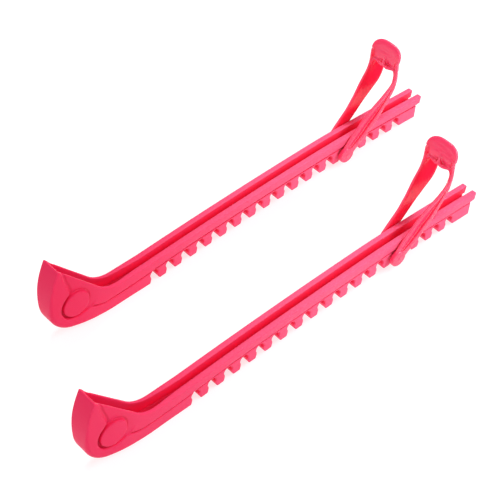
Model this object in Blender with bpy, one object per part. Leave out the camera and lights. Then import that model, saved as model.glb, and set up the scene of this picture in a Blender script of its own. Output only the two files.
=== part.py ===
# Pair of moulded skate blade guards, each with a hinged heel clip.
# Run with: blender --background --python part.py, or from the text editor.
# Metres, +Z up. +X runs from the toe to the heel, and the nearer guard lies towards -Y.

import math

import bmesh
import bpy
from mathutils import Vector

MM = 0.001

# Guard body, in the guard's own frame: x = 0 near mid length, z = 0 at the underside of the keel.
RAIL_TOP = 17.6          # height of the rail's lips
RAIL_HALF = 5.95         # half width of the rail and of the cup's side panels
KEEL_HALF = 5.1          # half width of the keel
CUP_HALF = 6.7           # half width of the cup's bumper and chin
RAIL_END_X = 151.5       # heel end of the rail
KEEL_END_X = 148.2       # heel end of the keel, at the step
END_RAKE = 0.1           # how far the heel faces lean, per unit of height
STEP_Z = 12.0            # underside of the rail's overhang at the heel

# The cup's underside and front are three arcs, each (radius, degrees that it has turned to).
CHIN_START_X = -104.0
FRONT_ARCS = [(95.0, 21.0), (20.0, 90.0), (64.0, 120.0)]
RIM_SLOPE = 50.4         # degrees, fall of the cup's rim
RIM_R = 20.0             # curve from the rim into the rail

# The rail is slightly arched between the toe block and the heel.
BOW = 3.3                # rise at the top of the arch
BOW_X = 52.0             # where the arch is highest
BOW_TOE_REACH = 132.0    # the arch runs this far from there towards the toe
BOW_HEEL_REACH = 100.0   # and this far towards the heel
BOW_STEP = 18.0          # spacing of the cuts that let the long faces follow it
HEEL_THIN = 0.09         # the guard loses this share of its height by the heel
HEEL_THIN_X = 60.0

# Slot for the blade and the hollow of the cup.
SLOT_HALF = 2.2
SLOT_FLOOR = 10.6
CUP_WALL = 1.4
FRONT_WALL = 2.0
CUP_OPEN_X = -124.0      # the hollow is at full width as far back as this
SLOT_START_X = -78.0     # and has narrowed to the slot here

# Comb of notches through the keel.
PITCH = 12.0
FIRST_NOTCH_X = -75.4
NOTCHES = 18
NOTCH_R = 3.05
NOTCH_Z = 6.0            # centre of the notch's round seat
THROAT_HALF = 2.6
THROAT_Z = 3.1
MOUTH_HALF = 3.5

# Round pad on each side of the cup, and the crease behind the front bumper.
PAD_X = -132.0
PAD_Z = 23.7
PAD_R = 9.8
PAD_PROUD = 0.15         # how far the pad stands out of the bumper's side
GROOVE = 1.5             # gap between the pad and the bumper
CREASE = [(-139.6, 64.0), (-140.6, 56.0), (-139.8, 51.9), (-139.0, 45.6), (-137.4, 39.5), (-136.6, 35.5)]

# Clip, measured from the axis of its cross-bar.
CLIP_NOTCH = 14          # notch that the cross-bar sits in, counted from the toe
BAR_R = 2.5
HUB_R = 5.4
LEG_IN = 6.3             # inner face of a leg where it passes the rail
HUB_OUT = 9.3
LEG_LEAN = 45.0          # degrees the legs lean back towards the heel
PADDLE_LEAN = -2.0       # the finger paddle stands almost upright
BEND_START = 48.0        # distances up the clip between which it bends
BEND_END = 68.0
CURL_START = 67.8        # above this the paddle curls back towards the heel
CURL_RATE = 5.0          # degrees for each millimetre
CLIP_LENGTH = 81.0
PADDLE_START = 69.0
NECK_HALF = 11.0         # half width of the paddle below its shoulders
SHOULDER = 71.6          # the paddle widens here, then narrows in an arch
PADDLE_HALF = 11.9
PADDLE_THICK = 2.6
PADDLE_BOW = 2.0
PADDLE_Q = -2.2          # its side edges stand this far ahead of the centre line

# The second guard lies beside the first, this far from it.
PAIR_SHIFT = Vector((-40.4, -86.5, 0.0))

PINK = {
    "guard": (0.93, 0.105, 0.235, 1.0),
    "clip": (1.0, 0.10, 0.22, 1.0),
}


def material(name, colour, roughness):
    mat = bpy.data.materials.new(name)
    mat.use_nodes = True
    shader = mat.node_tree.nodes["Principled BSDF"]
    shader.inputs["Base Color"].default_value = colour
    shader.inputs["Roughness"].default_value = roughness
    shader.inputs["Metallic"].default_value = 0.0
    return mat


def arc(cx, cz, radius, start, end, steps):
    """Points along a circle in the XZ plane, angles in degrees from +X towards +Z."""
    points = []
    for i in range(steps + 1):
        a = math.radians(start + (end - start) * i / steps)
        points.append((cx + radius * math.cos(a), cz + radius * math.sin(a)))
    return points


def new_object(name, mesh, collection, cutter=False):
    obj = bpy.data.objects.new(name, mesh)
    collection.objects.link(obj)
    if cutter:
        obj.hide_render = True
        obj.display_type = "WIRE"
    return obj


def prism(name, outline, half, collection, cutter=True, y0=None):
    """Solid from an outline in the XZ plane, millimetres, between y0 (or -half) and half."""
    low = -half if y0 is None else y0
    bm = bmesh.new()
    verts = [bm.verts.new(Vector((x, low, z)) * MM) for x, z in outline]
    face = bm.faces.new(verts)
    pushed = bmesh.ops.extrude_face_region(bm, geom=[face])
    moved = [v for v in pushed["geom"] if isinstance(v, bmesh.types.BMVert)]
    bmesh.ops.translate(bm, verts=moved, vec=Vector((0, half - low, 0)) * MM)
    bmesh.ops.recalc_face_normals(bm, faces=bm.faces)
    mesh = bpy.data.meshes.new(name)
    bm.to_mesh(mesh)
    bm.free()
    return new_object(name, mesh, collection, cutter)


def loft(name, sections, collection, cutter=True):
    """Solid through closed sections of equal point count, millimetres, capped at both ends."""
    bm = bmesh.new()
    rings = [[bm.verts.new(Vector(p) * MM) for p in ring] for ring in sections]
    count = len(rings[0])
    for a, b in zip(rings, rings[1:]):
        for i in range(count):
            j = (i + 1) % count
            bm.faces.new((a[i], a[j], b[j], b[i]))
    bm.faces.new(rings[0])
    bm.faces.new(rings[-1])
    bmesh.ops.recalc_face_normals(bm, faces=bm.faces)
    mesh = bpy.data.meshes.new(name)
    bm.to_mesh(mesh)
    bm.free()
    return new_object(name, mesh, collection, cutter)


def boolean(obj, other, operation):
    mod = obj.modifiers.new(other.name, "BOOLEAN")
    mod.operation = operation
    mod.object = other
    mod.solver = "EXACT"
    return mod


def ease(value, start, end):
    t = min(1.0, max(0.0, (value - start) / (end - start)))
    return t * t * (3 - 2 * t)


def mix(a, b, t):
    return a + (b - a) * t


# ---- guard body ----

def front_outline(inset):
    """Cup's underside and front, from the flat of the keel round to the top, moved inwards by inset."""
    x, z, turned = CHIN_START_X, inset, 0.0
    points = [(x, z)]
    for radius, until in FRONT_ARCS:
        steps = max(3, round((until - turned) / 9))
        for i in range(1, steps + 1):
            a = math.radians(mix(turned, until, i / steps))
            b = math.radians(mix(turned, until, (i - 1) / steps))
            x -= (radius - inset) * (math.sin(a) - math.sin(b))
            z += (radius - inset) * (math.cos(b) - math.cos(a))
            points.append((x, z))
        turned = until
    return points


def rim_outline(top):
    """Cup's rim and the rail's top, from the cup's front corner back to the heel."""
    slope = math.radians(RIM_SLOPE)
    corner_x = top[0] + (top[1] - RAIL_TOP) / math.tan(slope)
    centre_x = corner_x + RIM_R * math.tan(slope / 2)
    bend = arc(centre_x, RAIL_TOP + RIM_R, RIM_R, 270 - RIM_SLOPE, 270, 6)
    return bend + [(RAIL_END_X, RAIL_TOP)]


def side_outline():
    front = front_outline(0.0)
    heel = [
        (RAIL_END_X - END_RAKE * (RAIL_TOP - STEP_Z) - 0.6, STEP_Z),
        (KEEL_END_X, STEP_Z - 0.05),
        (KEEL_END_X - END_RAKE * STEP_Z, 0.0),
    ]
    return front + rim_outline(front[-1]) + heel


# Side stations: x, half width below the step, half width above it, height of the step.
SIDE = [
    (-158.0, CUP_HALF, CUP_HALF, 17.0),
    (-128.0, CUP_HALF, CUP_HALF, 17.0),
    (-122.0, 6.45, 6.2, 15.2),
    (-117.5, 6.1, RAIL_HALF, 12.4),
    (-112.0, 5.65, RAIL_HALF, 10.4),
    (-105.0, 5.25, RAIL_HALF, 10.0),
    (-95.0, KEEL_HALF, RAIL_HALF, 10.2),
    (-75.0, KEEL_HALF, RAIL_HALF, 11.4),
    (-50.0, KEEL_HALF, RAIL_HALF, STEP_Z),
    (156.0, KEEL_HALF, RAIL_HALF, STEP_Z),
]


def width_section(x, low, high, step):
    """Outer section: keel below the step and rail above it."""
    levels = [(-2.0, low), (step - 0.4, low), (step, high), (70.0, high)]
    right = [(x, half, z) for z, half in levels]
    return right + [(x, -half, z) for z, half in reversed(levels)]


def hollow_section(x):
    half = mix(CUP_HALF - CUP_WALL, SLOT_HALF, ease(x, CUP_OPEN_X, SLOT_START_X))
    return [(x, half, 0.0), (x, half, 75.0), (x, -half, 75.0), (x, -half, 0.0)]


def panel_outline():
    """Side panel: behind the crease and round the pad's front, back to where the rail begins."""
    around = arc(PAD_X, PAD_Z, PAD_R + GROOVE, 128, 235, 8)
    return CREASE + around + [(-133.0, 13.0), (-122.0, 14.4), (-114.0, 20.0), (-114.0, 64.0)]


def notch_outline(x):
    """Keyhole notch: a round seat above a throat that flares to the mouth."""
    lean = math.degrees(math.asin(THROAT_HALF / NOTCH_R))
    seat = arc(x, NOTCH_Z, NOTCH_R, -90 + lean, 270 - lean, 12)
    return [(x - THROAT_HALF, THROAT_Z), (x - MOUTH_HALF, -1.0),
            (x + MOUTH_HALF, -1.0), (x + THROAT_HALF, THROAT_Z)] + seat


def notch_x(number):
    return FIRST_NOTCH_X + PITCH * (number - 1)


def build_body(name, parts, cutters):
    body = prism(name, side_outline(), 9.0, parts, cutter=False)
    width = loft(name + "_width", [width_section(*station) for station in SIDE], cutters)
    boolean(body, width, "INTERSECT")

    stations = [-158.0, CUP_OPEN_X, -118.0, -110.0, -102.0, -94.0, -86.0, SLOT_START_X, 158.0]
    hollow = loft(name + "_hollow", [hollow_section(x) for x in stations], cutters)
    inner = [point for point in front_outline(FRONT_WALL) if point[1] > SLOT_FLOOR]
    lean = (inner[-1][0] - inner[-2][0]) / (inner[-1][1] - inner[-2][1])
    inner.append((inner[-1][0] + lean * (70.0 - inner[-1][1]), 70.0))
    room = [(160.0, SLOT_FLOOR), (inner[0][0] + 3.0, SLOT_FLOOR)] + inner + [(160.0, 70.0)]
    boolean(hollow, prism(name + "_room", room, 9.0, cutters), "INTERSECT")
    boolean(body, hollow, "DIFFERENCE")

    for side in (-1, 1):
        tag = "near" if side < 0 else "far"
        low, high = sorted((side * RAIL_HALF, side * (CUP_HALF + 1)))
        panel = prism(f"{name}_panel_{tag}", panel_outline(), high, cutters, y0=low)
        boolean(body, panel, "DIFFERENCE")
        low, high = sorted((side * (CUP_HALF - 1.2), side * (CUP_HALF + PAD_PROUD)))
        pad = prism(f"{name}_pad_{tag}", arc(PAD_X, PAD_Z, PAD_R, 0, 360, 32)[:-1],
                    high, cutters, y0=low)
        boolean(body, pad, "UNION")

    for number in range(1, NOTCHES + 1):
        notch = prism(f"{name}_notch_{number}", notch_outline(notch_x(number)), 8.0, cutters)
        boolean(body, notch, "DIFFERENCE")
    return body


def rise(x):
    """Height that the arch lifts the guard by at x."""
    t = (x - BOW_X) / (BOW_TOE_REACH if x < BOW_X else BOW_HEEL_REACH)
    return BOW * max(0.0, 1 - t * t)


def bow(mesh):
    """Cut the long faces at even steps along x, then lift each point by the arch."""
    bm = bmesh.new()
    bm.from_mesh(mesh)
    x = BOW_X - BOW_TOE_REACH
    while x < RAIL_END_X:
        geometry = bm.verts[:] + bm.edges[:] + bm.faces[:]
        bmesh.ops.bisect_plane(bm, geom=geometry, dist=1e-6,
                               plane_co=Vector((x, 0, 0)) * MM, plane_no=Vector((1, 0, 0)))
        x += BOW_STEP
    for vert in bm.verts:
        x = vert.co.x / MM
        vert.co.z *= 1 - HEEL_THIN * ease(x, HEEL_THIN_X, RAIL_END_X)
        vert.co.z += rise(x) * MM
    bm.to_mesh(mesh)
    bm.free()


# ---- clip ----

def lean_at(d):
    upright = mix(LEG_LEAN, PADDLE_LEAN, ease(d, BEND_START, BEND_END))
    return math.radians(upright + CURL_RATE * max(0.0, d - CURL_START))


def clip_axis(d):
    """Centre line of the clip in the XZ plane at distance d from the cross-bar."""
    point = Vector()
    steps = 60
    for i in range(steps):
        lean = lean_at(d * (i + 0.5) / steps)
        point += Vector((math.sin(lean), 0, math.cos(lean))) * (d / steps)
    return point


def clip_point(d, q, y):
    """Point at distance d along the clip, q behind its centre line and y across it."""
    lean = lean_at(d)
    return clip_axis(d) + Vector((math.cos(lean), 0, -math.sin(lean))) * q + Vector((0, y, 0))


# Leg stations: distance, front edge (q, y), rear edge (q, y), thickness.
LEG = [
    (-1.0, (-4.4, 7.3), (3.0, 7.3), 2.0),
    (12.0, (-4.5, 7.3), (4.2, 7.3), 2.0),
    (24.0, (-3.6, 7.4), (4.7, 7.4), 2.0),
    (34.0, (-3.2, 8.4), (5.0, 7.4), 2.0),
    (43.0, (-3.0, 9.9), (5.3, 6.9), 2.0),
    (51.0, (-2.8, 10.7), (5.4, 6.2), 2.0),
    (58.0, (-2.8, 11.2), (4.2, 6.0), 2.0),
    (65.0, (-2.8, 11.3), (2.2, 6.7), 2.0),
    (70.4, (-2.6, 10.8), (0.6, 7.6), 2.0),
]

# Rib stations: distance, front and rear q, y of its root, how far it stands out from the leg.
RIB = [
    (2.0, -2.4, 3.2, 7.2, 1.0),
    (14.0, 0.2, 4.4, 7.2, 1.9),
    (30.0, 1.8, 5.2, 7.2, 2.2),
    (42.0, 3.0, 5.7, 6.6, 1.8),
    (52.0, 3.8, 5.6, 6.0, 0.8),
]


# Pieces that join the two legs at the top: name, distances, front q, rear q, half width.
CROWN = [
    ("web", (62.3, 66.0, 68.6, 70.8), -0.2, 2.0, 8.4),
    ("ledge", (62.9, 64.5, 66.3), -2.6, 1.0, 7.4),
    ("ridge", (64.3, 68.0, 72.2), -3.4, 0.4, 1.1),
]


def rib_ring(d, ahead, behind, inner, proud, side):
    outer = inner + 1.0 + proud
    corners = ((ahead, inner), (behind, inner), (behind - 0.4, outer), (ahead + 0.4, outer))
    return [clip_point(d, q, side * y) for q, y in corners]


def leg_ring(d, front, rear, thick, side):
    ahead = Vector((front[0], front[1] * side))
    behind = Vector((rear[0], rear[1] * side))
    run = (behind - ahead).normalized()
    out = Vector((run.y, -run.x)) * (thick / 2)
    corners = [ahead + out, behind + out, behind - out, ahead - out]
    return [clip_point(d, c.x, c.y) for c in corners]


def paddle_half(d):
    """Half width of the paddle: straight up to the shoulder, then an arch."""
    if d < SHOULDER:
        return NECK_HALF
    t = (d - SHOULDER) / (CLIP_LENGTH - SHOULDER)
    return PADDLE_HALF * math.sqrt(1 - t * t)


def paddle_ring(d):
    """Section of the paddle: bowed towards the heel at its middle, flatter near the top."""
    depth = PADDLE_BOW * (1 - ease(d, SHOULDER, CLIP_LENGTH))
    half = paddle_half(d)
    across = [-1.0, -0.6, -0.2, 0.2, 0.6, 1.0]
    line = [(depth * (1 - a * a) + PADDLE_Q, a * half) for a in across]
    ring = [clip_point(d, q + PADDLE_THICK / 2, y) for q, y in line]
    return ring + [clip_point(d, q - PADDLE_THICK / 2, y) for q, y in reversed(line)]


def build_clip(name, parts, cutters):
    bar = prism(name, arc(0, 0, BAR_R, 0, 360, 24)[:-1], HUB_OUT - 1.0, parts, cutter=False)
    for side in (-1, 1):
        tag = "near" if side < 0 else "far"
        low, high = sorted((side * LEG_IN, side * HUB_OUT))
        hub = prism(f"{name}_hub_{tag}", arc(0, 0, HUB_R, 0, 360, 28)[:-1], high, cutters, y0=low)
        boolean(bar, hub, "UNION")
        leg = loft(f"{name}_leg_{tag}", [leg_ring(*s, side) for s in LEG], cutters)
        boolean(bar, leg, "UNION")
        rib = loft(f"{name}_rib_{tag}", [rib_ring(*s, side) for s in RIB], cutters)
        boolean(bar, rib, "UNION")
    stations = [PADDLE_START, SHOULDER - 0.4, SHOULDER, 73.6, 75.6, 77.2, 78.6, 79.7, 80.5,
                CLIP_LENGTH - 0.05]
    paddle = loft(f"{name}_paddle", [paddle_ring(d) for d in stations], cutters)
    boolean(bar, paddle, "UNION")
    for tag, stretch, front, rear, half in CROWN:
        block = [[clip_point(d, q, y) for q, y in
                  ((front, -half), (rear, -half), (rear, half), (front, half))] for d in stretch]
        boolean(bar, loft(f"{name}_{tag}", block, cutters), "UNION")
    return bar


def collection(name):
    made = bpy.data.collections.new(name)
    bpy.context.scene.collection.children.link(made)
    return made


def apply_modifiers(obj):
    graph = bpy.context.evaluated_depsgraph_get()
    mesh = bpy.data.meshes.new_from_object(obj.evaluated_get(graph))
    obj.modifiers.clear()
    obj.data = mesh


def main():
    for old in list(bpy.data.objects):
        bpy.data.objects.remove(old, do_unlink=True)
    parts = collection("skate_blade_guards")
    cutters = collection("cutters")
    cutters.hide_render = True

    body = build_body("guard_a", parts, cutters)
    clip = build_clip("clip_a", parts, cutters)
    bpy.context.view_layer.update()
    apply_modifiers(body)
    apply_modifiers(clip)
    bow(body.data)

    # The pair's footprint centre becomes the origin.
    centre = Vector((mid_x(body), 0, 0)) + PAIR_SHIFT * MM / 2
    pivot_x = notch_x(CLIP_NOTCH)
    pivot_z = NOTCH_Z * (1 - HEEL_THIN * ease(pivot_x, HEEL_THIN_X, RAIL_END_X)) + rise(pivot_x)
    pivot = Vector((pivot_x, 0, pivot_z)) * MM
    second_body = new_object("guard_b", body.data.copy(), parts)
    second_clip = new_object("clip_b", clip.data.copy(), parts)
    for guard, hook, shift in ((body, clip, Vector()), (second_body, second_clip, PAIR_SHIFT * MM)):
        guard.location = shift - centre
        hook.location = shift - centre + pivot
        for obj, colour, roughness in ((guard, PINK["guard"], 0.42), (hook, PINK["clip"], 0.38)):
            obj.data.materials.append(material(obj.name, colour, roughness))
            obj.data.shade_smooth()
            obj.data.set_sharp_from_angle(angle=math.radians(32))


def mid_x(obj):
    xs = [vert.co.x for vert in obj.data.vertices]
    return (min(xs) + max(xs)) / 2


main()
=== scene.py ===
import math

import bpy
import numpy as np
from mathutils import Matrix, Vector


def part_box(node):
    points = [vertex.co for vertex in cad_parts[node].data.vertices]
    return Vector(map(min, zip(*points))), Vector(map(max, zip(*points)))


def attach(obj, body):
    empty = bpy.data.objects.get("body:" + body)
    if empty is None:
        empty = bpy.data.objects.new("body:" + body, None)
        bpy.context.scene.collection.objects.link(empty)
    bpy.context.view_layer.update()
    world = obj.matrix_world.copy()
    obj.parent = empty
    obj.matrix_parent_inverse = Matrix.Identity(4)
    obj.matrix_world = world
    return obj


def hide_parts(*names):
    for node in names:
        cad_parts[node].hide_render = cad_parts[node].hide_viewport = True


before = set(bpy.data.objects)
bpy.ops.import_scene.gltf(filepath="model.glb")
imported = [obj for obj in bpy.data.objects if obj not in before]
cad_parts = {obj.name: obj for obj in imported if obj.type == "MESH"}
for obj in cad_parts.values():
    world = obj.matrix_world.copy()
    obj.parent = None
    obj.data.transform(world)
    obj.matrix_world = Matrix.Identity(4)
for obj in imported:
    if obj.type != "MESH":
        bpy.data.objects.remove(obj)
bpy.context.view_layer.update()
millimetre = 0.001

guardShape = {
    "railTop": 17.6, "railHalf": 5.95, "cupHalf": 6.7,
    "railEnd": 151.5, "keelEnd": 148.2, "endRake": 0.1, "stepHeight": 12.0,
    "chinStart": -104.0, "frontArcs": [(95.0, 21.0), (20.0, 90.0), (64.0, 120.0)],
    "rimFall": 50.4, "rimRadius": 20.0,
    "archRise": 3.3, "archMiddle": 52.0, "archToToe": 132.0, "archToHeel": 100.0,
    # the line under the step: depth, height below the step, half widths at its lip and bottom
    "stepGroove": 1.0, "stepGrooveDrop": 1.55, "stepGrooveWidths": (0.72, 0.4),
    "stepGrooveStarts": (-127.0, -119.0), "stepBlend": 0.45,
    # the panel behind the bumper, and the crease that follows its edge
    "panelDrop": 0.3, "panelStarts": (-116.0, -130.0), "panelArc": (128.0, 235.0),
    "creaseDepth": 0.5, "creaseInside": 1.5, "creaseWidths": (1.1, 0.2),
    "creaseStarts": (-126.0, -130.0),
    # rounding of the bumper's edges, from the chin up to the tip, and where it fades out
    "frontRound": (3.2, 0.6), "frontRoundHeights": (12.0, 46.0), "frontRoundEnds": (-130.0, -104.0),
    "heelThinning": 0.09, "thinFrom": 60.0,
    "slotHalf": 2.2, "slotFloor": 10.6, "cupRoomHalf": 4.4, "leastWall": 0.85, "frontWall": 1.9,
    "roomFull": -124.0, "roomNarrowed": -78.0,
    "outerRound": 0.6, "rimRound": 0.4, "rimHeights": (19.0, 24.0), "slotRound": 0.45,
    "roomRound": 0.5, "roomFrontRound": 0.9,
    # x, half width below the step, half width above it, height of the step
    "sides": [
        (-158.0, 7.0, 7.0, 17.0), (-128.0, 7.0, 7.0, 17.0), (-122.0, 6.6, 6.3, 15.2),
        (-117.5, 6.1, 5.95, 12.4), (-112.0, 5.65, 5.95, 10.4), (-105.0, 5.25, 5.95, 10.0),
        (-95.0, 5.1, 5.95, 10.2), (-75.0, 5.1, 5.95, 11.4), (-50.0, 5.1, 5.95, 12.0),
        (156.0, 5.1, 5.95, 12.0),
    ],
    "crease": [(-139.6, 64.0), (-140.6, 56.0), (-139.8, 51.9), (-139.0, 45.6),
               (-137.4, 39.5), (-136.6, 35.5)],
    "panelRear": [(-133.0, 13.0), (-122.0, 14.4), (-114.0, 20.0), (-114.0, 64.0)],
}

notchShape = {
    "first": -75.4, "pitch": 12.0, "count": 18, "seatRadius": 3.05, "seatHeight": 6.0,
    "throatHalf": 2.6, "throatHeight": 3.1, "mouthHalf": 3.5, "cornerRound": 0.4,
}

padShape = {
    "x": -133.0, "z": 24.0, "radius": 9.1, "proud": 0.7, "groove": 1.5, "softness": 0.4,
    "moat": 0.3, "moatWidth": 1.2, "moatLip": 0.1, "slopes": (0.1, -0.5),
}

clipShape = {
    "notch": 14, "barRadius": 2.5, "bossRadius": 5.4, "bossInner": 6.3, "bossOuter": 9.4,
    "legLean": 45.0, "paddleLean": -2.0, "bendFrom": 48.0, "bendTo": 68.0,
    # the paddle curls back by this many degrees for each millimetre past curlFrom
    "curlFrom": 67.8, "curlRate": 5.0, "curlMost": 16.0,
    "length": 78.7, "shoulder": 71.2, "paddleHalf": 11.9, "squareness": 0.78,
    "neckFrom": 66.4, "neckHalf": 11.2, "paddleThick": 2.3, "paddleDish": 2.0,
    "paddleForward": -2.2, "paddleRound": 0.9,
    "openingTop": 61.6, "openingSlope": 0.42, "openingHalf": 7.6, "openingRound": 2.6,
    # the web behind the pockets: front and rear faces, half width, lower and upper ends
    "web": (-1.0, 2.0), "webHalf": 8.6, "webEnds": (62.6, 71.4), "webRound": 0.5,
    "legTop": 70.6, "legRound": 0.6, "ribEnds": (4.0, 60.0), "ribRound": 0.5,
    "ribGroove": 0.38, "ribGrooveEnds": (5.0, 59.0), "ribGrooveOut": 0.53,
    "bossRound": 0.6, "buttonRadius": 0.9, "buttonProud": 0.25, "buttonRound": 0.2,
    # fillets where the rib, bar, boss, paddle and bead meet the rest
    "ribFillet": 0.3, "barFillet": 0.3, "bossFillet": 0.6, "webFillet": 1.6, "crownFillet": 0.8,
    "beadFillet": 1.5, "openingLip": 0.4,
    # distance up the leg, front edge (behind, out), rear edge (behind, out), thickness
    "leg": [
        (-2.0, (-4.2, 7.4), (3.0, 7.4), 2.1), (12.0, (-4.3, 7.4), (4.2, 7.4), 2.0),
        (24.0, (-3.6, 7.4), (4.7, 7.4), 2.0), (34.0, (-3.2, 8.4), (5.0, 7.4), 2.0),
        (43.0, (-3.0, 9.9), (5.3, 6.9), 2.0), (51.0, (-2.8, 10.7), (5.4, 6.2), 1.9),
        (58.0, (-2.8, 11.2), (4.2, 6.0), 1.9), (65.0, (-2.8, 11.1), (2.2, 7.3), 1.9),
        (70.4, (-2.6, 10.6), (0.6, 8.2), 1.9),
    ],
    # distance up the leg, middle (behind, out) of the rib, half length and half thickness
    "rib": [
        (4.0, (1.2, 8.7), 2.2, 0.7), (14.0, (2.6, 8.9), 1.7, 1.2), (30.0, (3.6, 9.2), 1.6, 1.4),
        (42.0, (4.4, 8.6), 1.4, 1.2), (51.0, (4.8, 7.9), 1.2, 0.9),
        (56.0, (4.3, 7.1), 1.0, 0.7), (61.0, (3.6, 6.0), 0.8, 0.4),
    ],
    # distance, behind, out and radius along the bead that edges the opening
    "bead": [
        (68.4, -2.6, 0.0, 0.7), (66.2, -3.0, 0.1, 1.1), (64.3, -2.8, 0.9, 1.35),
        (63.5, -2.4, 2.4, 1.4), (63.9, -2.0, 4.4, 1.4), (64.6, -1.8, 6.6, 1.25),
        (64.2, -1.9, 8.4, 1.0), (61.5, -2.4, 9.8, 0.7), (57.0, -2.6, 10.3, 0.4),
    ],
}


# shape helpers

def ease(value, start, end):
    t = np.clip((value - start) / (end - start), 0.0, 1.0)
    return t * t * (3 - 2 * t)


def mix(a, b, t):
    return a + (b - a) * t


def roundMax(a, b, radius):  # two distance fields cut to their overlap, with a rounded corner
    corner = np.hypot(np.maximum(a + radius, 0.0), np.maximum(b + radius, 0.0))
    return np.minimum(np.maximum(a, b), -radius) + corner


def roundMin(a, b, radius):  # the two joined, with a fillet
    return -roundMax(-a, -b, radius)


def between(value, ends):  # negative between the two ends
    return np.abs(value - (ends[0] + ends[1]) / 2) - (ends[1] - ends[0]) / 2


def outlineDistance(x, z, outline):  # negative inside the closed outline
    nearest = np.full(np.shape(x), 1e9)
    inside = np.zeros(np.shape(x), bool)
    for (ax, az), (bx, bz) in zip(outline, outline[1:] + outline[:1]):
        ex, ez = bx - ax, bz - az
        length = ex * ex + ez * ez
        if length == 0:
            continue
        t = np.clip(((x - ax) * ex + (z - az) * ez) / length, 0.0, 1.0)
        nearest = np.minimum(nearest, (x - ax - ex * t) ** 2 + (z - az - ez * t) ** 2)
        if ez != 0:
            crossed = ((az <= z) != (bz <= z)) & (x < ax + (z - az) * ex / ez)
            inside ^= crossed
    return np.where(inside, -1.0, 1.0) * np.sqrt(nearest)


def gridded(field, xs, zs):  # works the field out once on a grid, then reads between its points
    across, up = np.meshgrid(xs, zs, indexing="ij")
    values = field(across, up)

    def read(x, z):
        i = np.clip((x - xs[0]) / (xs[1] - xs[0]), 0, len(xs) - 1.001)
        j = np.clip((z - zs[0]) / (zs[1] - zs[0]), 0, len(zs) - 1.001)
        i0, j0 = i.astype(int), j.astype(int)
        u, v = i - i0, j - j0
        return (values[i0, j0] * (1 - u) * (1 - v) + values[i0 + 1, j0] * u * (1 - v)
                + values[i0, j0 + 1] * (1 - u) * v + values[i0 + 1, j0 + 1] * u * v)

    return read


def skinOf(values, lows, step):  # quads where the field on a grid changes sign
    inside = values < 0
    shape = np.array(values.shape) - 1
    count = np.zeros(shape, np.int8)
    for a in (0, 1):
        for b in (0, 1):
            for c in (0, 1):
                count += inside[a:shape[0] + a, b:shape[1] + b, c:shape[2] + c]
    active = (count > 0) & (count < 8)
    cells = np.argwhere(active)
    number = np.full(active.shape, -1, np.int64)
    number[active] = np.arange(len(cells))
    total = np.zeros((len(cells), 3))
    hits = np.zeros(len(cells))
    quads = []
    for axis in range(3):
        second, third = (axis + 1) % 3, (axis + 2) % 3
        along = np.eye(3, dtype=int)[axis]
        for a in (0, 1):
            for b in (0, 1):
                start = cells + a * np.eye(3, dtype=int)[second] + b * np.eye(3, dtype=int)[third]
                v0 = values[tuple(start.T)]
                v1 = values[tuple((start + along).T)]
                crossing = (v0 < 0) != (v1 < 0)
                share = v0[crossing] / (v0[crossing] - v1[crossing])
                total[crossing] += start[crossing] + share[:, None] * along
                hits[crossing] += 1
        before = np.moveaxis(inside, axis, 0)[:-1]
        after = np.moveaxis(inside, axis, 0)[1:]
        edges = np.moveaxis(before != after, 0, axis)
        places = np.argwhere(edges)
        keep = (places[:, second] > 0) & (places[:, third] > 0)
        keep &= (places[:, second] < shape[second]) & (places[:, third] < shape[third])
        places = places[keep]
        back = np.eye(3, dtype=int)[second]
        down = np.eye(3, dtype=int)[third]
        ring = [number[tuple((places - back - down).T)], number[tuple((places - down).T)],
                number[tuple(places.T)], number[tuple((places - back).T)]]
        quad = np.stack(ring, axis=1)
        outward = inside[tuple(places.T)]
        quad[~outward] = quad[~outward][:, ::-1]
        quads.append(quad)
    return lows + total / hits[:, None] * step, np.concatenate(quads)


def settle(points, field, rounds=3, reach=0.02):  # slides the points onto the field's surface
    for _ in range(rounds):
        value = field(*points.T)
        slope = np.empty_like(points)
        for axis in range(3):
            shift = np.zeros(3)
            shift[axis] = reach
            slope[:, axis] = (field(*(points + shift).T) - field(*(points - shift).T)) / (2 * reach)
        size = np.maximum((slope ** 2).sum(axis=1), 0.1)
        points = points - slope * np.clip(value / size, -0.3, 0.3)[:, None]
    return points


def skinMesh(field, low, high, step):
    low = np.array(low, float)
    counts = np.ceil((np.array(high) - low) / step).astype(int) + 1
    axes = [low[i] + step * np.arange(counts[i]) for i in range(3)]
    x, y, z = np.meshgrid(*axes, indexing="ij")
    points, quads = skinOf(field(x, y, z), low, step)
    points = settle(points, field)
    return points, quads


def meshObject(name, points, quads, share):
    mesh = bpy.data.meshes.new(name)
    mesh.vertices.add(len(points))
    mesh.vertices.foreach_set("co", (points * millimetre).ravel())
    mesh.loops.add(quads.size)
    mesh.loops.foreach_set("vertex_index", quads.ravel())
    mesh.polygons.add(len(quads))
    mesh.polygons.foreach_set("loop_start", np.arange(0, quads.size, 4))
    mesh.update(calc_edges=True)
    mesh.validate()
    obj = bpy.data.objects.new(name, mesh)
    bpy.context.scene.collection.objects.link(obj)
    thin = obj.modifiers.new("fewerFaces", "DECIMATE")
    thin.ratio = share
    graph = bpy.context.evaluated_depsgraph_get()
    finished = bpy.data.meshes.new_from_object(obj.evaluated_get(graph))
    obj.modifiers.clear()
    obj.data = finished
    finished.shade_smooth()
    return obj


# guard body

def frontOutline():
    x, z, turned = guardShape["chinStart"], 0.0, 0.0
    points = [(x, z)]
    for radius, until in guardShape["frontArcs"]:
        steps = max(3, round((until - turned) / 2.5))
        for i in range(steps):
            a = math.radians(mix(turned, until, i / steps))
            b = math.radians(mix(turned, until, (i + 1) / steps))
            x -= radius * (math.sin(b) - math.sin(a))
            z += radius * (math.cos(a) - math.cos(b))
            points.append((x, z))
        turned = until
    return points


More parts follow.
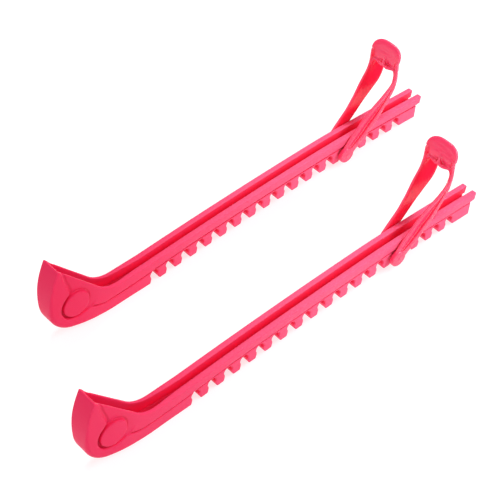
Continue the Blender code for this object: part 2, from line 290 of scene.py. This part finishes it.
def topOutline():  # everything under the cup's rim, the rail's top and the heel end
    g = guardShape
    fall = math.radians(g["rimFall"])
    top = frontOutline()[-1]
    cornerX = top[0] + (top[1] - g["railTop"]) / math.tan(fall)
    centreX = cornerX + g["rimRadius"] * math.tan(fall / 2)
    bend = []
    for i in range(19):
        a = math.radians(270) - fall * (1 - i / 18)
        bend.append((centreX + g["rimRadius"] * math.cos(a),
                     g["railTop"] + g["rimRadius"] * (1 + math.sin(a))))
    before = (top[0] - 60.0, top[1] + 60.0 * math.tan(fall))
    heel = [
        (g["railEnd"], g["railTop"]),
        (g["railEnd"] - g["endRake"] * (g["railTop"] - g["stepHeight"]) - 0.6, g["stepHeight"]),
        (g["keelEnd"], g["stepHeight"] - 0.05),
        (g["keelEnd"] - g["endRake"] * (g["stepHeight"] + 20.0), -20.0),
    ]
    return [before] + bend + heel + [(before[0], -20.0)]


def notchDistance(x, z):
    n = notchShape
    number = np.clip(np.round((x - n["first"]) / n["pitch"]), 0, n["count"] - 1)
    across = np.abs(x - n["first"] - n["pitch"] * number)
    seat = np.hypot(across, z - n["seatHeight"]) - n["seatRadius"]
    flare = np.clip((n["throatHeight"] - z) / n["throatHeight"], 0.0, 2.0)
    throat = across - mix(n["throatHalf"], n["mouthHalf"], flare)
    return np.minimum(seat, np.maximum(throat, z - n["seatHeight"]))


def sideDistance(x, z):
    return roundMax(outlineDistance(x, z, topOutline()), -notchDistance(x, z),
                    notchShape["cornerRound"])


def panelOutline():
    p = padShape
    ring = []
    for i in range(19):
        a = math.radians(mix(*guardShape["panelArc"], i / 18))
        ring.append((p["x"] + (p["radius"] + p["groove"]) * math.cos(a),
                     p["z"] + (p["radius"] + p["groove"]) * math.sin(a)))
    return guardShape["crease"] + ring + guardShape["panelRear"]


def roomHalf(x):  # half width of the slot, opening out into the cup's room
    g = guardShape
    return mix(g["cupRoomHalf"], g["slotHalf"], ease(x, g["roomFull"], g["roomNarrowed"]))


def halfWidth(x, z):
    g, p = guardShape, padShape
    stations, low, high, step = (np.array(column) for column in zip(*g["sides"]))
    atStep = np.interp(x, stations, step)
    width = mix(np.interp(x, stations, low), np.interp(x, stations, high),
                ease(z, atStep - g["stepBlend"], atStep))
    groove = g["stepGroove"] * ease(x, *g["stepGrooveStarts"])
    width = width - groove * ease(np.abs(z - atStep + g["stepGrooveDrop"]), *g["stepGrooveWidths"])
    inside = -outlineDistance(x, z, panelOutline())
    panel = ease(inside, -p["softness"], p["softness"])
    sunk = g["railHalf"] - g["panelDrop"] * ease(x, *g["panelStarts"])
    width = width - np.maximum(width - sunk, 0.0) * panel
    crease = ease(np.abs(inside - g["creaseInside"]), *g["creaseWidths"])
    width = width - g["creaseDepth"] * crease * ease(x, *g["creaseStarts"])
    away = np.hypot(x - p["x"], z - p["z"]) - p["radius"]
    moat = ease(np.abs(away - p["moatWidth"] / 2), p["moatWidth"] / 2, p["moatLip"])
    width = width - p["moat"] * moat
    pad = ease(away, *p["slopes"])
    width = np.maximum(width, roomHalf(x) + g["leastWall"])
    return mix(width, np.maximum(width, g["cupHalf"] + p["proud"]), pad)


def guardField():
    g = guardShape
    xs = np.arange(-156.0, 156.0, 0.2)
    zs = np.arange(-3.0, 64.0, 0.2)
    side = gridded(sideDistance, xs, zs)
    wall = gridded(halfWidth, xs, zs)
    front = frontOutline()
    (ax, az), (bx, bz) = front[-2], front[-1]
    tall = (bx + (bx - ax) / (bz - az) * 40.0, bz + 40.0)
    nose = gridded(lambda x, z: outlineDistance(
        x, z, front + [tall, (400.0, tall[1]), (400.0, 0.0)]), xs, zs)

    def field(x, y, z):
        edge = mix(g["outerRound"], g["rimRound"], ease(z, *g["rimHeights"]))
        sides = np.abs(y) - wall(x, z)
        blunt = mix(*g["frontRound"], ease(z, *g["frontRoundHeights"]))
        blunt = mix(blunt, g["outerRound"], ease(x, *g["frontRoundEnds"]))
        outer = roundMax(nose(x, z), sides, blunt)
        outer = roundMax(outer, side(x, z), edge)
        room = roundMax(np.abs(y) - roomHalf(x), g["slotFloor"] - z, g["roomRound"])
        room = roundMax(room, nose(x, z) + g["frontWall"], g["roomFrontRound"])
        return roundMax(outer, -room, g["slotRound"])

    return field


def rise(x):
    g = guardShape
    t = (x - g["archMiddle"]) / np.where(x < g["archMiddle"], g["archToToe"], g["archToHeel"])
    return g["archRise"] * np.maximum(0.0, 1 - t * t)


def thinning(x):
    return 1 - guardShape["heelThinning"] * ease(x, guardShape["thinFrom"], guardShape["railEnd"])


def arched(points):
    points = points.copy()
    points[:, 2] = points[:, 2] * thinning(points[:, 0]) + rise(points[:, 0])
    return points


# heel clip

def leanAt(d):
    c = clipShape
    upright = mix(c["legLean"], c["paddleLean"], ease(d, c["bendFrom"], c["bendTo"]))
    return np.radians(upright + c["curlRate"] * np.clip(d - c["curlFrom"], 0.0, c["curlMost"]))


spineDistance = np.arange(-10.0, 94.0, 0.25)
spineLean = leanAt(spineDistance)
spineX = np.concatenate([[0.0], np.cumsum(0.25 * np.sin(leanAt(spineDistance[:-1] + 0.125)))])
spineZ = np.concatenate([[0.0], np.cumsum(0.25 * np.cos(leanAt(spineDistance[:-1] + 0.125)))])
spineX = spineX - np.interp(0.0, spineDistance, spineX)
spineZ = spineZ - np.interp(0.0, spineDistance, spineZ)


def alongSpine(x, z):  # distance up the clip and distance behind its middle line
    nearest = np.full(np.shape(x), 1e9)
    found = np.zeros(np.shape(x), int)
    for i in range(0, len(spineX), 2):
        gap = (x - spineX[i]) ** 2 + (z - spineZ[i]) ** 2
        closer = gap < nearest
        nearest = np.where(closer, gap, nearest)
        found = np.where(closer, i, found)
    dx, dz = x - spineX[found], z - spineZ[found]
    lean = spineLean[found]
    d = spineDistance[found] + dx * np.sin(lean) + dz * np.cos(lean)
    return d, dx * np.cos(lean) - dz * np.sin(lean)


def smoothRows(rows, column):  # reads a column of a table with its kinks rounded off
    places = np.arange(-12.0, 96.0, 0.5)
    known = [row[0] for row in rows]
    values = np.interp(places, known, [column(row) for row in rows])
    kernel = np.hanning(15)
    padded = np.pad(values, 7, mode="edge")
    soft = np.convolve(padded, kernel / kernel.sum(), mode="valid")
    return lambda d: np.interp(d, places, soft)


def segmentDistance(q, y, q0, y0, q1, y1):
    dq, dy = q1 - q0, y1 - y0
    t = np.clip(((q - q0) * dq + (y - y0) * dy) / np.maximum(dq * dq + dy * dy, 1e-6), 0.0, 1.0)
    return np.hypot(q - q0 - dq * t, y - y0 - dy * t)


def paddleOutline():
    c = clipShape
    arch = []
    for i in range(49):
        a = math.pi * i / 48
        up = abs(math.sin(a)) ** c["squareness"]
        across = math.copysign(abs(math.cos(a)) ** c["squareness"], math.cos(a))
        arch.append((c["shoulder"] + (c["length"] - c["shoulder"]) * up,
                     -c["paddleHalf"] * across))
    neck = [(c["neckFrom"], c["neckHalf"]), (c["shoulder"] - 0.3, c["neckHalf"])]
    return [(d, -y) for d, y in neck] + arch + neck[::-1]


def clipField():
    c = clipShape
    xs = np.arange(-12.0, 62.0, 0.25)
    zs = np.arange(-12.0, 82.0, 0.25)
    up = gridded(lambda x, z: alongSpine(x, z)[0], xs, zs)
    behind = gridded(lambda x, z: alongSpine(x, z)[1], xs, zs)
    blade = gridded(lambda d, y: outlineDistance(d, y, paddleOutline()),
                    np.arange(55.0, 95.0, 0.2), np.arange(-16.0, 16.0, 0.2))
    frontQ = smoothRows(c["leg"], lambda row: row[1][0])
    frontY = smoothRows(c["leg"], lambda row: row[1][1])
    rearQ = smoothRows(c["leg"], lambda row: row[2][0])
    rearY = smoothRows(c["leg"], lambda row: row[2][1])
    thick = smoothRows(c["leg"], lambda row: row[3])
    ribQ = smoothRows(c["rib"], lambda row: row[1][0])
    ribY = smoothRows(c["rib"], lambda row: row[1][1])
    ribLong = smoothRows(c["rib"], lambda row: row[2])
    ribThick = smoothRows(c["rib"], lambda row: row[3])

    def field(x, y, z):
        out = np.abs(y)
        d, q = up(x, z), behind(x, z)
        leg = segmentDistance(q, out, frontQ(d), frontY(d), rearQ(d), rearY(d)) - thick(d) / 2
        fromAxis = np.hypot(x, z)
        leg = roundMax(leg, d - c["legTop"], c["legRound"])
        leg = np.maximum(leg, np.where(d < 0, fromAxis - c["bossRadius"], -5.0))
        rib = np.maximum(np.abs(q - ribQ(d)) - ribLong(d), np.abs(out - ribY(d)) - ribThick(d))
        rib = roundMax(rib, np.maximum(d - c["ribEnds"][1], c["ribEnds"][0] - d), c["ribRound"])
        shape = roundMin(leg, rib, c["ribFillet"])
        grooveQ = ribQ(d) - ribLong(d) - 0.3
        across = (grooveQ - frontQ(d)) / (rearQ(d) - frontQ(d))
        grooveY = mix(frontY(d), rearY(d), across) + thick(d) * c["ribGrooveOut"]
        groove = np.hypot(q - grooveQ, out - grooveY) - c["ribGroove"]
        low, high = c["ribGrooveEnds"]
        groove = np.maximum(groove, np.maximum(low - d, d - high))
        shape = roundMax(shape, -groove, 0.15)
        middle = (c["bossInner"] + c["bossOuter"]) / 2
        boss = roundMax(fromAxis - c["bossRadius"],
                        np.abs(out - middle) - (c["bossOuter"] - c["bossInner"]) / 2,
                        c["bossRound"])
        button = roundMax(fromAxis - c["buttonRadius"], out - c["bossOuter"] - c["buttonProud"],
                          c["buttonRound"])
        boss = np.maximum(np.minimum(boss, button), c["bossInner"] - out)
        shape = roundMin(shape, boss, c["bossFillet"])
        bar = np.maximum(fromAxis - c["barRadius"], out - middle)
        shape = roundMin(shape, bar, c["barFillet"])

        dish = c["paddleDish"] * (1 - ease(d, c["shoulder"], c["length"]))
        sheet = c["paddleForward"] + dish * (1 - (out / c["paddleHalf"]) ** 2)
        paddle = roundMax(np.abs(q - sheet) - c["paddleThick"] / 2, blade(d, y), c["paddleRound"])
        # the web between the legs, behind the pockets, with the arched top of the opening
        web = roundMax(between(q, c["web"]), out - c["webHalf"], c["webRound"])
        web = roundMax(web, between(d, c["webEnds"]), c["webRound"])
        opening = d - c["openingTop"] - c["openingSlope"] * out
        opening = roundMax(opening, out - c["openingHalf"], c["openingRound"])
        crown = roundMax(roundMin(paddle, web, c["webFillet"]), -opening, c["openingLip"])
        shape = roundMin(shape, crown, c["crownFillet"])
        bead = np.full(np.shape(d), 1e9)
        for (d0, q0, y0, r0), (d1, q1, y1, r1) in zip(c["bead"], c["bead"][1:]):
            run = (d1 - d0) ** 2 + (q1 - q0) ** 2 + (y1 - y0) ** 2
            t = ((d - d0) * (d1 - d0) + (q - q0) * (q1 - q0) + (out - y0) * (y1 - y0)) / run
            t = np.clip(t, 0.0, 1.0)
            gap = np.sqrt((d - d0 - t * (d1 - d0)) ** 2 + (q - q0 - t * (q1 - q0)) ** 2
                          + (out - y0 - t * (y1 - y0)) ** 2)
            bead = np.minimum(bead, gap - mix(r0, r1, t))
        return roundMin(shape, bead, c["beadFillet"])

    return field


print("guard skin")
guardPoints, guardQuads = skinMesh(guardField(), (-153.5, -8.0, -1.2), (153.5, 8.0, 59.5), 0.45)
guardPoints = arched(guardPoints)
print("guard quads", len(guardQuads))
print("clip skin")
clipPoints, clipQuads = skinMesh(clipField(), (-8.0, -13.0, -7.0), (56.0, 13.0, 77.0), 0.4)
print("clip quads", len(clipQuads))


# materials

def addNode(tree, kind, values=None, **settings):
    made = tree.nodes.new(kind)
    for key, value in settings.items():
        setattr(made, key, value)
    for key, value in (values or {}).items():
        if isinstance(value, bpy.types.NodeSocket):
            tree.links.new(value, made.inputs[key])
        else:
            made.inputs[key].default_value = value
    return made


def newGroup(name, takes, gives):
    tree = bpy.data.node_groups.new(name, "ShaderNodeTree")
    for label, kind, value in takes:
        socket = tree.interface.new_socket(label, in_out="INPUT", socket_type=kind)
        socket.default_value = value
    for label, kind in gives:
        tree.interface.new_socket(label, in_out="OUTPUT", socket_type=kind)
    return tree, tree.nodes.new("NodeGroupInput"), tree.nodes.new("NodeGroupOutput")


def mouldedGrainGroup():
    tree, given, result = newGroup(
        "mouldedGrain",
        [("Grain Scale", "NodeSocketFloat", 900.0), ("Cloud Scale", "NodeSocketFloat", 35.0)],
        [("Height", "NodeSocketFloat"), ("Cloud", "NodeSocketFloat")])
    place = addNode(tree, "ShaderNodeTexCoord")
    grain = addNode(tree, "ShaderNodeTexNoise", {
        "Vector": place.outputs["Object"], "Scale": given.outputs["Grain Scale"],
        "Detail": 3.0, "Roughness": 0.55})
    ripple = addNode(tree, "ShaderNodeTexNoise", {
        "Vector": place.outputs["Object"], "Scale": 140.0, "Detail": 2.0})
    both = addNode(tree, "ShaderNodeMath", {0: grain.outputs["Fac"], 1: ripple.outputs["Fac"]},
                   operation="ADD")
    cloud = addNode(tree, "ShaderNodeTexNoise", {
        "Vector": place.outputs["Object"], "Scale": given.outputs["Cloud Scale"],
        "Detail": 4.0, "Roughness": 0.6})
    tree.links.new(both.outputs[0], result.inputs["Height"])
    tree.links.new(cloud.outputs["Fac"], result.inputs["Cloud"])
    return tree


# mask of rounded edges, which get a paler colour: partly wear, partly a painted highlight
def edgeWearAndHighlightGroup():
    tree, given, result = newGroup(
        "edgeWearAndHighlight", [("Width", "NodeSocketFloat", 0.0008)], [("Mask", "NodeSocketFloat")])
    rounded = addNode(tree, "ShaderNodeBevel", {"Radius": given.outputs["Width"]}, samples=4)
    surface = addNode(tree, "ShaderNodeNewGeometry")
    turn = addNode(tree, "ShaderNodeVectorMath", {
        0: rounded.outputs["Normal"], 1: surface.outputs["Normal"]}, operation="DOT_PRODUCT")
    mask = addNode(tree, "ShaderNodeMapRange", {
        "Value": turn.outputs["Value"], "From Min": 0.995, "From Max": 0.85,
        "To Min": 0.0, "To Max": 1.0})
    tree.links.new(mask.outputs["Result"], result.inputs["Mask"])
    return tree


# mask of hollows and creases from ambient occlusion, used to paint shade there as a deeper red and as
# dark lines
def paintedShadeMaskGroup():
    tree, given, result = newGroup(
        "paintedShadeMask", [("Reach", "NodeSocketFloat", 0.006)], [("Mask", "NodeSocketFloat")])
    shade = addNode(tree, "ShaderNodeAmbientOcclusion", {"Distance": given.outputs["Reach"]},
                    samples=8, only_local=True)
    mask = addNode(tree, "ShaderNodeMapRange", {
        "Value": shade.outputs["AO"], "From Min": 0.9, "From Max": 0.25,
        "To Min": 0.0, "To Max": 1.0})
    tree.links.new(mask.outputs["Result"], result.inputs["Mask"])
    return tree


def useGroup(tree, group, **values):
    made = tree.nodes.new("ShaderNodeGroup")
    made.node_tree = group
    for key, value in values.items():
        made.inputs[key.replace("_", " ")].default_value = value
    return made


def blendColour(tree, amount, first, second):
    made = addNode(tree, "ShaderNodeMix", data_type="RGBA", blend_type="MIX")
    for socket, value in ((made.inputs[0], amount), (made.inputs[6], first), (made.inputs[7], second)):
        if isinstance(value, bpy.types.NodeSocket):
            tree.links.new(value, socket)
        else:
            socket.default_value = value
    return made.outputs[2]


def scaled(tree, value, factor):
    made = addNode(tree, "ShaderNodeMath", {0: value, 1: factor}, operation="MULTIPLY")
    return made.outputs[0]


guardFinish = {
    # painted shade: the deeper red stands in for shade and inter-reflected light in hollows
    "colour": (0.76, 0.020, 0.088, 1.0), "hollowShadeRed": (0.93, 0.006, 0.062, 1.0),
    # the paler edge colour is partly wear, partly a painted highlight
    "edge": (1.0, 0.17, 0.32, 1.0), "cloud": (0.83, 0.032, 0.114, 1.0),
    # painted shadow: the dark line colour goes into creases and under overhangs
    "line": (0.50, 0.002, 0.035, 1.0), "hollowShadeAmount": 0.8, "lineAmount": 0.85,
    "edgeAmount": 0.5, "edgeWidth": 0.0007, "roughness": 0.40, "gleam": 0.07, "subsurface": 0.12,
    # painted light: the plastic turns paler between these two places along the guard, in metres,
    # standing in for a lamp's light falling off toward the toe
    "paintedLightPale": (0.94, 0.128, 0.255, 1.0), "paintedLightFrom": -0.135, "paintedLightTo": 0.03, "paintedLightAmount": 0.8,
}
clipFinish = {
    # painted shade: the deeper red stands in for shade and inter-reflected light in hollows
    "colour": (1.0, 0.034, 0.125, 1.0), "hollowShadeRed": (1.0, 0.008, 0.060, 1.0),
    # the paler edge colour is partly wear, partly a painted highlight
    "edge": (1.0, 0.42, 0.54, 1.0), "cloud": (1.0, 0.060, 0.17, 1.0),
    # painted shadow: the dark line colour goes into creases and under overhangs
    "line": (0.66, 0.002, 0.035, 1.0), "hollowShadeAmount": 0.6, "lineAmount": 0.45,
    "edgeAmount": 0.6, "edgeWidth": 0.0009, "roughness": 0.24, "gleam": 0.5,
    "subsurface": 0.16,
    # painted shade: the sides of the legs that face each other are a stronger red, standing in for
    # light reflected between the legs
    "inner": (1.0, 0.010, 0.052, 1.0), "innerFrom": -0.001, "innerTo": -0.005, "innerAmount": 0.85,
}
plasticGrain = {
    "grain": 1100.0, "cloud": 28.0, "cloudAmount": 0.6, "bump": 0.12, "bumpDepth": 0.0002,
    # painted shade: how far away a wall still makes a wide hollow, or a narrow shadow line, a deeper
    # red, standing in for shade and inter-reflected light
    "hollowShadeReach": 0.012, "lineReach": 0.0022,
    "smoother": 0.05, "rougher": 0.07, "ior": 1.48,
    "glow": (1.0, 0.25, 0.3), "glowDepth": 0.002,
}
grainGroup = mouldedGrainGroup()
wearAndHighlightGroup = edgeWearAndHighlightGroup()
paintedShadeGroup = paintedShadeMaskGroup()


def mouldedPlastic(name, finish):
    mat = bpy.data.materials.new(name)
    mat.use_nodes = True
    tree = mat.node_tree
    shader = tree.nodes["Principled BSDF"]
    grain = useGroup(tree, grainGroup, Grain_Scale=plasticGrain["grain"],
                     Cloud_Scale=plasticGrain["cloud"])
    edge = useGroup(tree, wearAndHighlightGroup, Width=finish["edgeWidth"])
    hollowShadeMask = useGroup(tree, paintedShadeGroup, Reach=plasticGrain["hollowShadeReach"])
    shadowLineMask = useGroup(tree, paintedShadeGroup, Reach=plasticGrain["lineReach"])
    patches = scaled(tree, grain.outputs["Cloud"], plasticGrain["cloudAmount"])
    cloudy = blendColour(tree, patches, finish["colour"], finish["cloud"])
    spot = addNode(tree, "ShaderNodeTexCoord")
    along = addNode(tree, "ShaderNodeSeparateXYZ", {0: spot.outputs["Object"]})
    # painted light: paler toward the heel, as if a lamp there lit it more
    if "paintedLightPale" in finish:
        paintedLightMask = addNode(tree, "ShaderNodeMapRange", {
            "Value": along.outputs["X"], "From Min": finish["paintedLightFrom"],
            "From Max": finish["paintedLightTo"], "To Min": 0.0, "To Max": finish["paintedLightAmount"]})
        cloudy = blendColour(tree, paintedLightMask.outputs["Result"], cloudy, finish["paintedLightPale"])
    # painted shade: a stronger red on faces that turn toward the clip's middle, where light bounces
    # between the legs
    if "inner" in finish:
        facing = addNode(tree, "ShaderNodeSeparateXYZ", {0: spot.outputs["Normal"]})
        inward = scaled(tree, along.outputs["Y"], facing.outputs["Y"])
        mask = addNode(tree, "ShaderNodeMapRange", {
            "Value": inward, "From Min": finish["innerFrom"], "From Max": finish["innerTo"],
            "To Min": 0.0, "To Max": finish["innerAmount"]})
        cloudy = blendColour(tree, mask.outputs["Result"], cloudy, finish["inner"])
    # painted shade: a deeper red in wide hollows
    hollowShadeRed = blendColour(tree, scaled(tree, hollowShadeMask.outputs["Mask"], finish["hollowShadeAmount"]),
                       cloudy, finish["hollowShadeRed"])
    # painted shadow: dark lines in creases, under the step and around the pad
    lined = blendColour(tree, scaled(tree, shadowLineMask.outputs["Mask"], finish["lineAmount"]),
                        hollowShadeRed, finish["line"])
    # paler rounded edges: partly wear, partly a painted highlight
    wornAndHighlighted = blendColour(tree, scaled(tree, edge.outputs["Mask"], finish["edgeAmount"]),
                       lined, finish["edge"])
    tree.links.new(wornAndHighlighted, shader.inputs["Base Color"])
    gloss = addNode(tree, "ShaderNodeMapRange", {
        "Value": grain.outputs["Cloud"], "From Min": 0.3, "From Max": 0.7,
        "To Min": finish["roughness"] - plasticGrain["smoother"],
        "To Max": finish["roughness"] + plasticGrain["rougher"]})
    tree.links.new(gloss.outputs["Result"], shader.inputs["Roughness"])
    bump = addNode(tree, "ShaderNodeBump", {
        "Strength": plasticGrain["bump"], "Distance": plasticGrain["bumpDepth"],
        "Height": grain.outputs["Height"]})
    tree.links.new(bump.outputs["Normal"], shader.inputs["Normal"])
    shader.inputs["Subsurface Weight"].default_value = finish["subsurface"]
    shader.inputs["Subsurface Radius"].default_value = plasticGrain["glow"]
    shader.inputs["Subsurface Scale"].default_value = plasticGrain["glowDepth"]
    shader.inputs["IOR"].default_value = plasticGrain["ior"]
    shader.inputs["Specular IOR Level"].default_value = finish["gleam"]
    return mat


guardPlastic = mouldedPlastic("guardPlastic", guardFinish)
clipPlastic = mouldedPlastic("clipPlastic", clipFinish)


# pieces on their bodies

def place(kind, points, quads, finish, slotName, share):
    print(kind)
    first = None
    for letter in "ab":
        low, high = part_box("guard_" + letter)
        heelEnd = high.x - guardShape["railEnd"] * millimetre
        spot = Vector((heelEnd, (low.y + high.y) / 2, low.z))
        if kind == "clip":
            x = notchShape["first"] + notchShape["pitch"] * (clipShape["notch"] - 1)
            z = notchShape["seatHeight"] * float(thinning(x)) + float(rise(x))
            spot += Vector((x, 0.0, z)) * millimetre
        if first is None:
            piece = first = meshObject(kind + "_" + letter + "_skin", points, quads, share)
        else:
            piece = bpy.data.objects.new(kind + "_" + letter + "_skin", first.data.copy())
            bpy.context.scene.collection.objects.link(piece)
        piece.data.materials.clear()
        piece.data.materials.append(finish)
        piece.location = spot
        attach(piece, kind + "_" + letter)
        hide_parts(kind + "_" + letter)


place("guard", guardPoints, guardQuads, guardPlastic, "guard_pink", 0.3)
place("clip", clipPoints, clipQuads, clipPlastic, "clip_pink", 0.5)


# floor, light and camera

studio = {
    "floor": (0.40, 0.40, 0.40, 1.0), "floorSize": 8.0, "floorDrop": 0.0004, "floorGlow": 0.7,
    "world": 0.40,
    # place, size and watts of each soft lamp, aimed at the middle of the pair
    "lamps": [((0.55, -0.55, 0.62), 0.40, 6.2), ((0.4, 0.6, 1.6), 0.5, 13.0),
              ((-1.6, -0.45, 0.9), 1.0, 10.4)],
    "azimuth": -41.02, "elevation": 46.39, "roll": -0.61, "focal": 1500.0,
    "stand": (-0.4123, -0.4590, 0.6657),
}


def addStudio():
    bpy.ops.mesh.primitive_plane_add(size=studio["floorSize"],
                                     location=(0, 0, -studio["floorDrop"]))
    floor = bpy.context.object
    floor.name = "floor"
    mat = bpy.data.materials.new("floorWhite")
    mat.use_nodes = True
    shader = mat.node_tree.nodes["Principled BSDF"]
    shader.inputs["Base Color"].default_value = studio["floor"]
    shader.inputs["Roughness"].default_value = 0.9
    shader.inputs["Specular IOR Level"].default_value = 0.1
    shader.inputs["Emission Color"].default_value = (1, 1, 1, 1)
    shader.inputs["Emission Strength"].default_value = studio["floorGlow"]
    floor.data.materials.append(mat)
    for i, (spot, size, watts) in enumerate(studio["lamps"]):
        light = bpy.data.lights.new("softLamp%d" % (i + 1), "AREA")
        light.size = size
        light.energy = watts
        lamp = bpy.data.objects.new(light.name, light)
        bpy.context.scene.collection.objects.link(lamp)
        lamp.location = spot
        lamp.rotation_euler = (-Vector(spot)).to_track_quat("-Z", "Y").to_euler()
    world = bpy.data.worlds.new("paleWorld")
    world.use_nodes = True
    world.node_tree.nodes["Background"].inputs["Color"].default_value = (1, 1, 1, 1)
    world.node_tree.nodes["Background"].inputs["Strength"].default_value = studio["world"]
    bpy.context.scene.world = world
    bpy.context.scene.view_settings.view_transform = "Standard"


def addCamera():
    data = bpy.data.cameras.new("camera")
    data.lens = 36.0 * studio["focal"] / 500.0
    data.clip_start = 0.05
    camera = bpy.data.objects.new("camera", data)
    bpy.context.scene.collection.objects.link(camera)
    turned = Matrix.Rotation(math.radians(studio["azimuth"]), 3, "Z")
    tipped = Matrix.Rotation(math.radians(90 - studio["elevation"]), 3, "X")
    rolled = Matrix.Rotation(math.radians(studio["roll"]), 3, "Z")
    camera.rotation_euler = (turned @ tipped @ rolled).to_euler()
    camera.location = studio["stand"]
    bpy.context.scene.camera = camera


print("studio")
addStudio()
addCamera()
